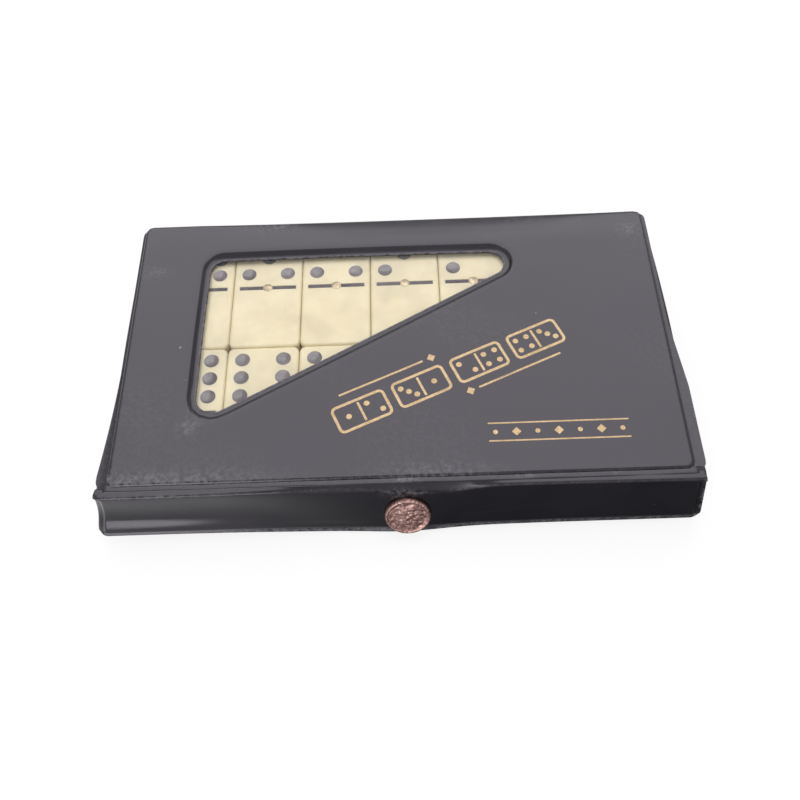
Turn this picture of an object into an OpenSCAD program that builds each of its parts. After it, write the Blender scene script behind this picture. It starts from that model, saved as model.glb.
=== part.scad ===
// Storage box for a double-six set of dominoes: a tray of covered board,
// a lid with a clear three-cornered window, and a front flap with a snap.
// Millimetres. X runs along the length, Y from front to back, Z up.
// The origin is on the floor under the middle of the box.

/* [Tiles] */
// Width of one tile
tile_w = 24; // [20:0.5:28]
// Length of one tile
tile_l = 49.5; // [42:0.5:56]
// Thickness of one tile
tile_t = 8.5; // [6:0.1:12]
// Corner radius of a tile, seen from above
tile_r = 2.2; // [0.8:0.1:4]
// Bevel along the edges of a tile
tile_bevel = 0.7; // [0.3:0.1:1.2]
// Play between one tile and the next
tile_gap = 0.15; // [0.05:0.05:0.4]

/* [Pips] */
// Diameter of a pip
pip_d = 5; // [3:0.1:5.4]
// Depth of a pip's hollow
pip_depth = 0.8; // [0.4:0.1:1.2]
// Distance between the two columns of pips
pip_dx = 13.7; // [12:0.1:16]
// Distance between the rows of pips
pip_dy = 6.9; // [5.6:0.1:7.4]
// Distance from the end of the tile to its first row
pip_end = 4.9; // [4:0.1:5.5]
// Depth of the enamel's surface below the face
enamel_sink = 0.15; // [0.05:0.05:0.3]
// Length of the bar across the middle
bar_l = 20; // [14:0.5:21]
// Width of the bar
bar_w = 1.5; // [1:0.1:2.4]
// Depth of the bar's groove
bar_depth = 0.4; // [0.35:0.05:0.8]
// Diameter of the spinner pin's head
pin_d = 3.4; // [2.6:0.1:4.4]
// Height of the spinner pin's head
pin_h = 0.35; // [0.2:0.05:0.6]
// Diameter of the spinner pin's shank
shank_d = 1.4; // [1:0.1:1.8]
// Depth that the spinner pin is driven in
shank_l = 4; // [2:0.5:5]

/* [Tray] */
// Thickness of the board in the walls
wall_t = 1.6; // [1.2:0.1:2.4]
// Thickness of the board in the floor
floor_t = 1.5; // [1:0.1:2.5]
// Thickness of the vinyl outside
skin_t = 0.45; // [0.3:0.05:0.7]
// Thickness of the vinyl inside
lining_t = 0.25; // [0.15:0.05:0.4]
// Free length left of the tiles
left_slack = 8.1; // [6:0.1:12]
// Free length right of the tiles
right_slack = 1.1; // [0.5:0.1:4]
// Free depth in front of the tiles
front_slack = 0.4; // [0.2:0.1:2]
// Free depth behind the tiles
back_slack = 1; // [0.2:0.1:3]
// Free height above the pins' heads
head_room = 0.1; // [0.1:0.1:1]
// How far the end walls' vinyl bellies out
belly = 1.5; // [0.5:0.1:3]
// Corner radius of the tray
tray_r = 2.5; // [1:0.1:5]

/* [Lid] */
// Thickness of the board in the lid
lid_board_t = 2.1; // [1.8:0.1:3]
// Rounding of the lid's top edges
lid_edge_r = 1; // [0.8:0.1:1.3]
// Corner radius of the lid
lid_r = 3; // [2:0.1:6]
// Width of the weld along the lid's ends
lid_flange = 1.3; // [0.8:0.1:2.5]
// How far the lid's front edge stands back from the tray's front
lid_setback = 1; // [0.8:0.1:2]
// Play between the lid and the tray's rim
lid_gap = 0.2; // [0.1:0.05:0.5]
// Radius of the vinyl's fold at the back
fold_r = 0.4; // [0.3:0.05:0.6]

/* [Window] */
// Left rear corner of the opening, from the lid's middle: across
win_left_x = -65; // [-75:0.5:-60]
// Left front corner of the opening: across
win_front_x = -65.5; // [-75:0.5:-56]
// Right corner of the opening, at its point: across
win_nose_x = 53; // [40:0.5:60]
// Rear edge of the opening at the left
win_back_y = 35.5; // [30:0.5:40]
// Rear edge of the opening at the right
win_nose_y = 35.5; // [30:0.5:40]
// Front corner of the opening
win_front_y = -31; // [-38:0.5:-20]
// Radius of the opening's corners
win_r = 5; // [3:0.1:6]
// Width of the weld round the opening
win_flange = 2.6; // [1.5:0.1:4]
// Thickness of the clear film
film_t = 0.3; // [0.2:0.05:0.4]

/* [Flap] */
// Length of the flap's face, down its front
flap_l = 18.7; // [17:0.1:19]
// Width of the flap at its top
flap_w = 186; // [172:1:190]
// How much wider the flap is at its bottom, each side
flap_flare = 1.9; // [0:0.1:3]
// Thickness of the card in the flap
flap_card_t = 0.8; // [0.5:0.1:1.2]
// Width of the weld round the flap
flap_flange = 1.6; // [1:0.1:3]
// Corner radius at the flap's bottom
flap_r = 3; // [1:0.1:6]
// Play between the top of the flap and the tray's front
flap_gap = 0.3; // [0.2:0.05:0.6]
// Radius of the flap's fold
flap_fold_r = 0.35; // [0.25:0.05:0.5]

/* [Snap] */
// Diameter of the snap's cap
cap_d = 14.5; // [11:0.5:15]
// Height of the snap's cap
cap_h = 2; // [1.2:0.1:3]
// How far the cap sits right of the middle
snap_x = 2; // [-20:0.5:20]
// Distance from the top of the flap's face down to the cap's middle
snap_drop = 11; // [10.5:0.1:12.6]
// Height of the stud above the tray's front
stud_h = 3.1; // [2.8:0.1:4]
// Diameter of the stud's foot
stud_foot_d = 9; // [7:0.5:9]
// Thickness of the stud's foot
stud_foot_t = 0.4; // [0.3:0.05:0.6]
// Diameter of the stud's knob
knob_d = 4.4; // [3.6:0.1:4.8]
// Diameter of the socket
socket_d = 11; // [10:0.5:12]
// Thickness of the socket
socket_t = 1.6; // [1.3:0.1:1.8]
// Diameter of the posts that clench the snap
post_d = 2.6; // [2:0.1:3]
// Play round the knob, in the socket
knob_play = 0.7; // [0.5:0.05:0.9]

/* [Hidden] */
$fn = 48;
HULL_FN = 32;

// The set: seven tiles along, two deep, two layers.
cols = 7;
rows = 2;
tile_px = tile_w + tile_gap;
tile_py = tile_l + tile_gap;

// Top layer, rear row: every tile with a blank; front row: the sixes and the double five.
TOP_REAR = [for (c = [0:6]) [6 - c, 0]];
TOP_FRONT = [for (c = [0:6]) c < 6 ? [6, 6 - c] : [5, 5]];
// Lower layer: the fourteen tiles that are left.
LOW = [for (a = [5:-1:1]) for (b = [a:-1:1]) if (a * b != 25) [a, b]];
TILES = concat(TOP_REAR, TOP_FRONT, LOW);
function tile_name(i) = str("tile_", TILES[i][0], "_", TILES[i][1]);
function tile_col(i) = i % cols;
function tile_row(i) = 1 - floor(i / cols) % rows;
function tile_layer(i) = i < cols * rows ? 1 : 0;

// Heights.
z_board = skin_t;
z_wall = z_board + floor_t;
z_tiles = z_wall + lining_t;
layer_h = tile_t + pin_h;
z_rim = z_tiles + 2 * layer_h + head_room;
z_lid = z_rim + lid_gap;
z_lid_board = z_lid + lining_t;
lid_top = z_lid_board + lid_board_t + skin_t;
z_film = z_lid_board + lining_t;
z_weld = z_film + film_t;

// Plan sizes.
inner_w = cols * tile_px - tile_gap + left_slack + right_slack;
inner_d = rows * tile_py - tile_gap + front_slack + back_slack;
wall = lining_t + wall_t + skin_t;
base_w = inner_w + 2 * wall;
base_d = inner_d + 2 * wall;
lid_w = base_w;
lid_back = base_d / 2 - fold_r - 0.3;
lid_front = -base_d / 2 + lid_setback;
lid_d = lid_back - lid_front;
lid_mid_y = (lid_back + lid_front) / 2;

// The flap: its fold, the top of its face, and its lean over the snap.
flap_t = skin_t + flap_card_t + lining_t;
fold_y = lid_front - flap_fold_r - 0.1;
fold_z = lid_top - flap_fold_r;
face_y = -base_d / 2 - flap_gap - flap_t;
face_z = z_rim;
socket_web = 0.2;
snap_air = 0.3;
snap_stack = stud_h + socket_web + snap_air;
lean = asin((snap_stack - flap_gap) / snap_drop);

// Where the stud meets the tray's front: on the level of the socket's middle.
stud_z = face_z - snap_drop * cos(lean) - (flap_t + socket_t / 2) * sin(lean);

// The cap's outline, from its middle outwards: [radius, height].
cap_rim = 0.8;
cap_profile = [
    [0, 0],
    [cap_d / 2 - 0.3, 0],
    [cap_d / 2, 0.4],
    [cap_d / 2, cap_h - cap_rim],
    [cap_d / 2 - 0.4, cap_h - 0.3],
    [cap_d / 2 - 1.1, cap_h - 0.3],
    [cap_d / 2 - 1.5, cap_h - 0.6],
    [cap_d / 4, cap_h - 0.15],
    [0, cap_h]
];

// The box is shifted so that the origin is in the middle of its whole depth.
cap_reach = max([for (p = cap_profile) p[0] * sin(lean) + p[1] * cos(lean)]);
y_front = face_y - snap_drop * sin(lean) - cap_reach;
y_back = base_d / 2 + fold_r;
y_shift = -(y_front + y_back) / 2;

vinyl = "#2c2b31";
vinyl_inside = "#3b3a40";
greyboard = "#9a8c76";
ivory = "#f1e6c4";
enamel = "#4d494c";
copper = "#8f6a5c";

BASE = ["bottom_cover", "wall_cover", "hinge_fold", "bottom_board", "front_board", "back_board",
    "left_board", "right_board", "tray_lining", "snap_stud", "stud_washer"];
LID = ["lid_cover", "lid_board", "lid_lining", "window_film"];
FLAP = ["flap_cover", "flap_card", "flap_lining", "snap_cap", "snap_socket", "socket_spring"];
TRIM = ["pips_top_layer", "pips_low_layer", "bar_enamel", "spinner_pins"];

// ---------- shapes that several pieces share ----------

// Everything is drawn about the tray's middle and moved to the origin of the whole box.
module placed() {
    translate([0, y_shift, 0]) children();
}

// A rectangle about the middle, with round corners.
module round_rect(w, d, r) {
    square([w, d - 2 * r], center = true);
    square([w - 2 * r, d], center = true);
    for (sx = [-1, 1]) for (sy = [-1, 1])
        translate([sx * (w / 2 - r), sy * (d / 2 - r)]) circle(r);
}

// Unit vector from one point to another.
function toward(a, b) = (b - a) / norm(b - a);

// The middle of the arc of radius r that rounds corner i of a polygon.
function arc_mid(points, i, r) =
    let (n = len(points), p = points[i])
    let (u = toward(p, points[(i + 1) % n]), v = toward(p, points[(i + n - 1) % n]))
    p + toward([0, 0], u + v) * r / sin(acos(u * v) / 2);

// A convex polygon, drawn anticlockwise, with an arc at each corner. A corner of radius 0 stays sharp.
module rounded_polygon(points, radii) {
    n = len(points);
    corners = [for (i = [0:n - 1]) let (
        before = toward(points[(i + n - 1) % n], points[i]),
        after = toward(points[i], points[(i + 1) % n]),
        mid = arc_mid(points, i, radii[i]),
        r = radii[i])
        r == 0 ? [mid] : [for (u = [before, after]) mid + r * [u[1], -u[0]]]];
    polygon([for (corner = corners) for (p = corner) p]);
    for (i = [0:n - 1]) if (radii[i] > 0)
        translate(arc_mid(points, i, radii[i])) circle(radii[i]);
}

// A profile drawn in Y and Z, carried along X over a length about the middle.
module along_x(length) {
    rotate([90, 0, 90]) linear_extrude(length, center = true) children();
}

// The tray's outline, whose ends belly out on a wide arc, less an inset.
module tray_outline(inset) {
    arc_r = (base_d * base_d / 4 + belly * belly) / (2 * belly);
    offset(r = tray_r - inset) offset(delta = -tray_r) intersection() {
        square([base_w + 2 * belly, base_d], center = true);
        translate([base_w / 2 + belly - arc_r, 0]) circle(arc_r, $fn = 720);
        translate([-base_w / 2 - belly + arc_r, 0]) circle(arc_r, $fn = 720);
    }
}

// A box about the middle in plan, from z0 up.
module block(w, d, z0, h) {
    translate([-w / 2, -d / 2, z0]) cube([w, d, h]);
}

// Things drawn about the lid's middle.
module on_lid() {
    translate([0, lid_mid_y, 0]) children();
}

// Things drawn on the flap's face: y = 0 is the face, +y goes inwards, -z goes down it.
module on_flap() {
    translate([0, face_y, face_z]) rotate([-lean, 0, 0]) children();
}

// Things turned about the snap's line through the flap: +z points out of the face.
module on_snap() {
    on_flap() translate([snap_x, 0, -snap_drop]) rotate([90, 0, 0]) children();
}

// ---------- the tray ----------

module bottom_cover() {
    color(vinyl) placed() linear_extrude(skin_t) tray_outline(0);
}

module wall_cover() {
    rim_t = lining_t;
    color(vinyl) placed() difference() {
        union() {
            translate([0, 0, skin_t]) linear_extrude(z_rim - skin_t) difference() {
                tray_outline(0);
                tray_outline(skin_t);
            }
            translate([0, 0, z_rim - rim_t]) linear_extrude(rim_t) difference() {
                tray_outline(0);
                square([inner_w, inner_d], center = true);
            }
        }
        translate([0, base_d / 2, z_rim + 0.1]) rotate([0, 90, 0])
            cylinder(r = fold_r + 0.05, h = base_w + 2 * belly + 2, center = true);
        translate([snap_x, -base_d / 2 - 1, stud_z]) rotate([-90, 0, 0])
            cylinder(d = post_d + 0.2, h = skin_t + 2);
    }
}

module hinge_fold() {
    color(vinyl) placed() translate([0, base_d / 2, z_rim + 0.1]) rotate([0, 90, 0])
        cylinder(r = fold_r, h = lid_w - 2 * lid_r, center = true);
}

module bottom_board() {
    color(greyboard) placed() translate([0, 0, z_board]) linear_extrude(floor_t)
        round_rect(base_w - 2 * skin_t, base_d - 2 * skin_t, tray_r - skin_t);
}

// Height of the walls' boards, which the turned-over rim covers.
wall_h = z_rim - lining_t - z_wall;

// The walls' boards stop where the round corners begin.
module long_board() {
    block(base_w - 2 * tray_r, wall_t, z_wall, wall_h);
}

module end_board() {
    block(wall_t, base_d - 2 * max(tray_r, wall), z_wall, wall_h);
}

wall_mid_y = base_d / 2 - skin_t - wall_t / 2;
wall_mid_x = base_w / 2 - skin_t - wall_t / 2;
washer_d = 8;
washer_t = 0.5;

module front_board() {
    color(greyboard) placed() difference() {
        translate([0, -wall_mid_y, 0]) long_board();
        translate([snap_x, -base_d / 2, stud_z]) rotate([-90, 0, 0])
            cylinder(d = post_d + 0.2, h = wall);
        translate([snap_x, -inner_d / 2 - lining_t - washer_t, stud_z]) rotate([-90, 0, 0])
            cylinder(d = washer_d + 0.2, h = washer_t + 1);
    }
}

module back_board() {
    color(greyboard) placed() translate([0, wall_mid_y, 0]) long_board();
}

module left_board() {
    color(greyboard) placed() translate([-wall_mid_x, 0, 0]) end_board();
}

module right_board() {
    color(greyboard) placed() translate([wall_mid_x, 0, 0]) end_board();
}

module tray_lining() {
    color(vinyl_inside) placed() difference() {
        block(inner_w + 2 * lining_t, inner_d + 2 * lining_t, z_wall, wall_h);
        block(inner_w, inner_d, z_tiles, wall_h);
    }
}

// ---------- the tiles ----------

// Places of the pips for one number, as column and row of a three by three grid.
function pips(n) = concat(
    n % 2 == 1 ? [[0, 0]] : [],
    n > 1 ? [[-1, -1], [1, 1]] : [],
    n > 3 ? [[-1, 1], [1, -1]] : [],
    n > 5 ? [[-1, 0], [1, 0]] : []);

// The middle of the grid lies this far from the bar.
grid_y = tile_l / 2 - pip_end - pip_dy;

// Every pip of a tile, in the tile's own plan; the second half is turned half round.
function tile_pips(pair) = concat(
    [for (p = pips(pair[0])) [p[0] * pip_dx / 2, grid_y + p[1] * pip_dy]],
    [for (p = pips(pair[1])) [-p[0] * pip_dx / 2, -grid_y - p[1] * pip_dy]]);

// The sphere whose cap is a pip's hollow.
ball_r = (pip_d * pip_d / 4 + pip_depth * pip_depth) / (2 * pip_depth);
ball_z = tile_t + ball_r - pip_depth;
enamel_play = 0.03;

// The middle of tile i at the bottom of its layer.
block_x = -inner_w / 2 + left_slack + tile_w / 2;
block_y = -inner_d / 2 + front_slack + tile_l / 2;
function tile_at(i) = [
    block_x + tile_col(i) * tile_px,
    block_y + tile_row(i) * tile_py,
    z_tiles + tile_layer(i) * layer_h];

// A rectangle with its four corners cut off.
module bevelled(w, h) {
    c = tile_bevel;
    translate([-w / 2, -h / 2]) polygon([[c, 0], [w - c, 0], [w, c], [w, h - c],
        [w - c, h], [c, h], [0, h - c], [0, c]]);
}

module tile_blank() {
    intersection() {
        linear_extrude(tile_t) round_rect(tile_w, tile_l, tile_r);
        translate([0, 0, tile_t / 2]) along_x(tile_w) bevelled(tile_l, tile_t);
        translate([0, 0, tile_t / 2]) rotate([90, 0, 0])
            linear_extrude(tile_l, center = true) bevelled(tile_w, tile_t);
    }
}

module tile(i) {
    color(ivory) placed() translate(tile_at(i)) difference() {
        tile_blank();
        for (p = tile_pips(TILES[i]))
            translate([p[0], p[1], ball_z]) sphere(ball_r);
        translate([-bar_l / 2, -bar_w / 2, tile_t - bar_depth]) cube([bar_l, bar_w, bar_depth + 1]);
        translate([0, 0, tile_t - shank_l - 0.1]) cylinder(d = shank_d + 0.1, h = shank_l + 1);
    }
}

// A drop of enamel: the cap of the hollow's sphere, filled to just below the face.
module enamel_drop() {
    r = ball_r - enamel_play;
    half = acos((ball_r - pip_depth + enamel_sink) / r);
    steps = 4;
    rotate_extrude() polygon(concat(
        [for (k = [0:steps]) [r * sin(half * k / steps), -r * cos(half * k / steps)]],
        [[0, -r * cos(half)]]));
}

// The drops of one layer, 0 below and 1 on top.
module layer_enamel(layer) {
    color(enamel) placed() for (i = [0:len(TILES) - 1]) if (tile_layer(i) == layer)
        translate(tile_at(i)) for (p = tile_pips(TILES[i]))
            translate([p[0], p[1], ball_z]) enamel_drop();
}

module pips_top_layer() {
    layer_enamel(1);
}

module pips_low_layer() {
    layer_enamel(0);
}

module bar_enamel() {
    run = bar_l / 2 - shank_d / 2 - 0.3;
    color(enamel) placed() for (i = [0:len(TILES) - 1]) translate(tile_at(i)) for (s = [-1, 1])
        translate([s * (shank_d / 2 + 0.2 + run / 2), 0, tile_t - bar_depth])
            block(run, bar_w - 2 * enamel_play, 0, bar_depth - enamel_sink);
}

// A low dome on a shank, driven in where the bar crosses the tile's middle.
module spinner_pins() {
    dome_r = (pin_d * pin_d / 4 + pin_h * pin_h) / (2 * pin_h);
    color("#c9a24a") placed() for (i = [0:len(TILES) - 1]) translate(tile_at(i)) translate([0, 0, tile_t]) {
        intersection() {
            cylinder(d = pin_d, h = pin_h);
            translate([0, 0, pin_h - dome_r]) sphere(dome_r);
        }
        translate([0, 0, -shank_l]) cylinder(d = shank_d, h = shank_l);
    }
}

// ---------- the lid ----------

// Corner points of the window, about the case's middle.
WINDOW = [[win_left_x, win_back_y], [win_front_x, win_front_y], [win_nose_x, win_nose_y]];

// The window's outline with its corners rounded, grown by an even width.
module window_outline(grow) {
    offset(r = win_r + grow) polygon([for (i = [0:2]) arc_mid(WINDOW, i, win_r)]);
}

// The hole that the vinyl's turned-down edge and the film need in the board.
well = win_flange + skin_t;
board_hole = well + 0.1;

// One corner of the lid's pillow: a disc whose top edge is round.
module pillow_corner(h) {
    cylinder(r = lid_r, h = h - lid_edge_r, $fn = HULL_FN);
    translate([0, 0, h - lid_edge_r]) rotate_extrude($fn = HULL_FN) {
        square([lid_r - lid_edge_r, lid_edge_r]);
        translate([lid_r - lid_edge_r, 0]) intersection() {
            circle(lid_edge_r, $fn = HULL_FN);
            square(lid_edge_r);
        }
    }
}

pillow_w = lid_w - 2 * lid_flange;
pillow_h = lid_top - z_lid_board;

module lid_pillow() {
    on_lid() hull() for (sx = [-1, 1]) for (sy = [-1, 1])
        translate([sx * (pillow_w / 2 - lid_r), sy * (lid_d / 2 - lid_r), z_lid_board])
            pillow_corner(pillow_h);
}

// The weld along each end of the lid, where the outer vinyl meets the lining.
module end_welds() {
    lap = skin_t / 2;
    on_lid() for (s = [-1, 1]) translate([s * (lid_w - lid_flange - lap) / 2, 0, 0])
        block(lid_flange + lap, lid_d - 2 * lid_r, z_lid_board, skin_t);
}

// One skin over the board, turned down round the window and welded to the film.
module lid_cover() {
    color(vinyl) placed() difference() {
        union() {
            difference() {
                lid_pillow();
                on_lid() block(pillow_w - 2 * skin_t, lid_d - 2 * skin_t, z_lid_board - 1,
                    lid_board_t + 1);
            }
            end_welds();
            translate([0, 0, z_weld]) linear_extrude(lid_top - skin_t / 2 - z_weld)
                window_outline(well);
        }
        translate([0, 0, z_weld + skin_t]) linear_extrude(pillow_h) window_outline(win_flange);
        translate([0, 0, z_lid_board]) linear_extrude(pillow_h + 1) window_outline(0);
    }
}

module lid_board() {
    play = 0.05;
    color(greyboard) placed() difference() {
        on_lid() block(pillow_w - 2 * skin_t - 2 * play, lid_d - 2 * skin_t - 2 * play,
            z_lid_board, lid_board_t);
        translate([0, 0, z_lid_board - 1]) linear_extrude(lid_board_t + 2) window_outline(board_hole);
    }
}

module lid_lining() {
    color(vinyl_inside) placed() difference() {
        on_lid() translate([0, 0, z_lid]) linear_extrude(lining_t) round_rect(lid_w, lid_d, lid_r);
        translate([0, 0, z_lid - 1]) linear_extrude(lining_t + 2) window_outline(board_hole);
    }
}

module window_film() {
    color("#dfe7ea", 0.4) placed() translate([0, 0, z_film]) linear_extrude(film_t)
        window_outline(win_flange + skin_t / 2);
}

// ---------- the flap ----------

// The flap's face, which widens a little to its rounded bottom corners.
module flap_outline(inset, top_inset) {
    half_top = flap_w / 2 - inset;
    half_low = half_top + flap_flare;
    low = -flap_l + inset;
    rounded_polygon([[-half_low, low], [half_low, low], [half_top, -top_inset], [-half_top, -top_inset]],
        [flap_r, flap_r, 0, 0]);
}

// A sheet of the flap between two depths behind its face.
module flap_sheet(y0, t, inset, top_inset) {
    translate([0, y0 + t, 0]) rotate([90, 0, 0]) linear_extrude(t) flap_outline(inset, top_inset);
}

// The hole that the snap's post goes through.
module post_hole() {
    on_snap() translate([0, 0, -flap_t - 1]) cylinder(d = post_d + 0.2, h = flap_t + 2);
}

pocket_t = skin_t + flap_card_t;

module flap_cover() {
    // The round upper edge of the face, about the middle of the pocket.
    edge_r = pocket_t / 2;
    edge = [face_y + edge_r * cos(lean), face_z - edge_r * sin(lean)];
    fold = [fold_y, fold_z];
    down = toward(fold, edge);
    out = [down[1], -down[0]];
    band_out = edge_r - 0.05;
    band_end = edge + out * (band_out - skin_t / 2);
    band_side = out * skin_t / 2;
    color(vinyl) placed() difference() {
        union() {
            on_flap() {
                flap_sheet(0, pocket_t, flap_flange, 0);
                flap_sheet(pocket_t - skin_t, skin_t, 0, 0);
                translate([0, edge_r, 0]) rotate([0, 90, 0])
                    cylinder(r = edge_r, h = flap_w - 2 * flap_flange, center = true);
            }
            // The band from the fold to the face, just inside the round edge's outer side.
            along_x(flap_w - 2 * flap_flange) polygon([fold - band_side, band_end - band_side,
                band_end + band_side, fold + band_side]);
            translate([0, fold_y, fold_z]) rotate([0, 90, 0])
                cylinder(r = flap_fold_r, h = flap_w - 2 * flap_flange, center = true);
        }
        on_flap() flap_sheet(skin_t, flap_card_t + 1, flap_flange + skin_t, flap_flange + skin_t);
        post_hole();
    }
}

module flap_card() {
    play = 0.05;
    color(greyboard) placed() difference() {
        on_flap() flap_sheet(skin_t, flap_card_t, flap_flange + skin_t + play, flap_flange + skin_t + play);
        post_hole();
    }
}

module flap_lining() {
    color(vinyl_inside) placed() difference() {
        on_flap() flap_sheet(pocket_t, lining_t, 0, 0);
        post_hole();
    }
}

// ---------- the snap ----------

module snap_cap() {
    color(copper) placed() on_snap() {
        rotate_extrude() polygon(cap_profile);
        translate([0, 0, -flap_t]) cylinder(d = post_d, h = flap_t);
    }
}

mouth_r = knob_d / 2 + knob_play;
groove_r = 0.3;

module snap_socket() {
    color("silver") placed() on_snap() translate([0, 0, -flap_t - socket_t]) difference() {
        cylinder(d = socket_d, h = socket_t);
        translate([0, 0, -1]) cylinder(r = mouth_r, h = socket_t + 1 - socket_web);
        translate([0, 0, socket_t / 2]) rotate_extrude()
            translate([mouth_r, 0]) circle(groove_r + 0.05);
    }
}

// The ring of wire that grips the knob, lying in the socket's groove.
module socket_spring() {
    color("silver") placed() on_snap() translate([0, 0, -flap_t - socket_t / 2]) rotate_extrude()
        translate([mouth_r, 0]) circle(groove_r);
}

// Foot, neck and knob, turned about the stud's line, with a post through the wall.
module snap_stud() {
    neck_d = knob_d - 1.6;
    round_r = 0.6;
    top = stud_h - round_r;
    color("silver") placed() translate([snap_x, -base_d / 2, stud_z]) rotate([90, 0, 0]) {
        cylinder(d = stud_foot_d, h = stud_foot_t);
        cylinder(d = neck_d, h = stud_h - 0.5);
        rotate_extrude() polygon([[0, top - 1], [neck_d / 2, top - 1], [knob_d / 2, top - 0.5],
            [knob_d / 2, top], [knob_d / 2 - round_r, stud_h], [0, stud_h]]);
        translate([0, 0, -skin_t - wall_t]) cylinder(d = post_d, h = skin_t + wall_t);
    }
}

module stud_washer() {
    color("silver") placed() translate([snap_x, -inner_d / 2 - lining_t, stud_z]) rotate([90, 0, 0])
        difference() {
            cylinder(d = washer_d, h = washer_t);
            translate([0, 0, -1]) cylinder(d = post_d + 0.1, h = washer_t + 2);
        }
}

// ---------- everything in its place ----------

bottom_cover();
wall_cover();
hinge_fold();
bottom_board();
front_board();
back_board();
left_board();
right_board();
tray_lining();
snap_stud();
stud_washer();
lid_cover();
lid_board();
lid_lining();
window_film();
flap_cover();
flap_card();
flap_lining();
snap_cap();
snap_socket();
socket_spring();
pips_top_layer();
pips_low_layer();
bar_enamel();
spinner_pins();
for (i = [0:len(TILES) - 1]) tile(i);
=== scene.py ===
import math
import bmesh
import bpy
import numpy as np
from mathutils import Matrix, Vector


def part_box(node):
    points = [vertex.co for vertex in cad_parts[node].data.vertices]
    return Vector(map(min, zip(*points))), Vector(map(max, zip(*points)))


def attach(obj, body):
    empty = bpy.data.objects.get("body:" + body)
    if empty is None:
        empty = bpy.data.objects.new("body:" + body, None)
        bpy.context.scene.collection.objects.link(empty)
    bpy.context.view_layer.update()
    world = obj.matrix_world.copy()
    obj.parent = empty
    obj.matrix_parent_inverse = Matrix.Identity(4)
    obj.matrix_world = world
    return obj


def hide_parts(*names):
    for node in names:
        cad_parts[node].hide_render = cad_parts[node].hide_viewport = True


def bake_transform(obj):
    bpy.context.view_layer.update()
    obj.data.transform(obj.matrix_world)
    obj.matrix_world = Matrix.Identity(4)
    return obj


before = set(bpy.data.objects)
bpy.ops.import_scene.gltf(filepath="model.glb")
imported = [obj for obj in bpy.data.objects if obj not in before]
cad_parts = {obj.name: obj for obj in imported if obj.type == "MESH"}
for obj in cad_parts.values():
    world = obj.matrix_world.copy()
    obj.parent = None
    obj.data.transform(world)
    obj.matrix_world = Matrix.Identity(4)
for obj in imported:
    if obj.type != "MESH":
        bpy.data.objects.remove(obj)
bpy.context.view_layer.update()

# ---------- The table, the light and the camera ----------
# A white table under one big soft panel behind and above the box, whose sheen the black vinyl shows,
# with a smaller panel at the front left and a pale room all round.


def node(tree, kind, inputs=None, **settings):
    """A shader node: its settings first, then its sockets, each linked or given a plain value."""
    new = tree.nodes.new(kind)
    for key, value in settings.items():
        setattr(new, key, value)
    for key, value in (inputs or {}).items():
        if isinstance(value, bpy.types.NodeSocket):
            tree.links.new(value, new.inputs[key])
        else:
            new.inputs[key].default_value = value
    return new


def calc(tree, operation, first, second, clamp=False):
    """The result of one sum on two shader values."""
    made = node(tree, "ShaderNodeMath", {0: first, 1: second}, operation=operation, use_clamp=clamp)
    return made.outputs[0]


def ranged(tree, value, low, high, to_low=0.0, to_high=1.0):
    """A shader value carried from one range to another, and held at both ends."""
    ends = {"Value": value, "From Min": low, "From Max": high, "To Min": to_low, "To Max": to_high}
    return node(tree, "ShaderNodeMapRange", ends).outputs[0]


def own_place(tree):
    """Where a point lies in its piece's own frame, in metres."""
    return node(tree, "ShaderNodeTexCoord").outputs["Object"]


def mix_colour(tree, share, first, second):
    """A colour that goes from the first to the second as the share goes from 0 to 1."""
    return node(tree, "ShaderNodeMix", {0: share, 6: first, 7: second}, data_type="RGBA").outputs[2]


def unseen(tree):
    """0 for the light that reaches a surface, and 1 for what the camera, a mirror or a film shows."""
    rays = node(tree, "ShaderNodeLightPath").outputs
    seen = calc(tree, "MAXIMUM", rays["Is Camera Ray"], rays["Is Glossy Ray"])
    return calc(tree, "MAXIMUM", seen, rays["Is Transmission Ray"])


def finish(name, values):
    """A material of one Principled shader, with its plain values set on the shader's own sockets."""
    material = bpy.data.materials.new(name)
    material.use_nodes = True
    shader = material.node_tree.nodes["Principled BSDF"]
    for key, value in values.items():
        shader.inputs[key].default_value = value
    return material, material.node_tree, shader


def put(name, data):
    """A new object in the scene that shows a mesh, a lamp or a lens."""
    made = bpy.data.objects.new(name, data)
    bpy.context.scene.collection.objects.link(made)
    return made


def unit(vectors):
    """One vector, or one in each row, brought to a length of 1."""
    return vectors / np.linalg.norm(vectors, axis=-1, keepdims=True)


def soft_panel(name, place, aim, width, height, radiance, tint):
    """A rectangular lamp that looks at a point. Its power is pi times its area times its radiance."""
    lamp = bpy.data.lights.new(name, "AREA")
    lamp.shape = "RECTANGLE"
    lamp.size = width
    lamp.size_y = height
    lamp.energy = math.pi * width * height * radiance
    lamp.color = tint
    away = unit(np.array(place) - np.array(aim))
    side = unit(np.cross((0, 0, 1), away))
    rows = np.column_stack([side, np.cross(away, side), away, place])
    put(name, lamp).matrix_world = Matrix([*rows.tolist(), [0, 0, 0, 1]])


soft_panel("back_panel", (0.0, 0.56, 1.06), (0, 0, 0), 1.3, 1.46, 2.44, (1, 0.985, 1.02))
soft_panel("front_left_panel", (-0.46, -1.02, 0.44), (0, 0, 0.1), 0.6, 0.86, 4.6, (1, 0.99, 1))

world = bpy.data.worlds.new("pale_room")
world.use_nodes = True
bpy.context.scene.world = world
room = world.node_tree
strength = ranged(room, unseen(room), 0, 1, 0.18, 1.0)
room.links.new(strength, room.nodes["Background"].inputs["Strength"])
room.nodes["Background"].inputs["Color"].default_value = (1, 1, 1, 1)

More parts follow.
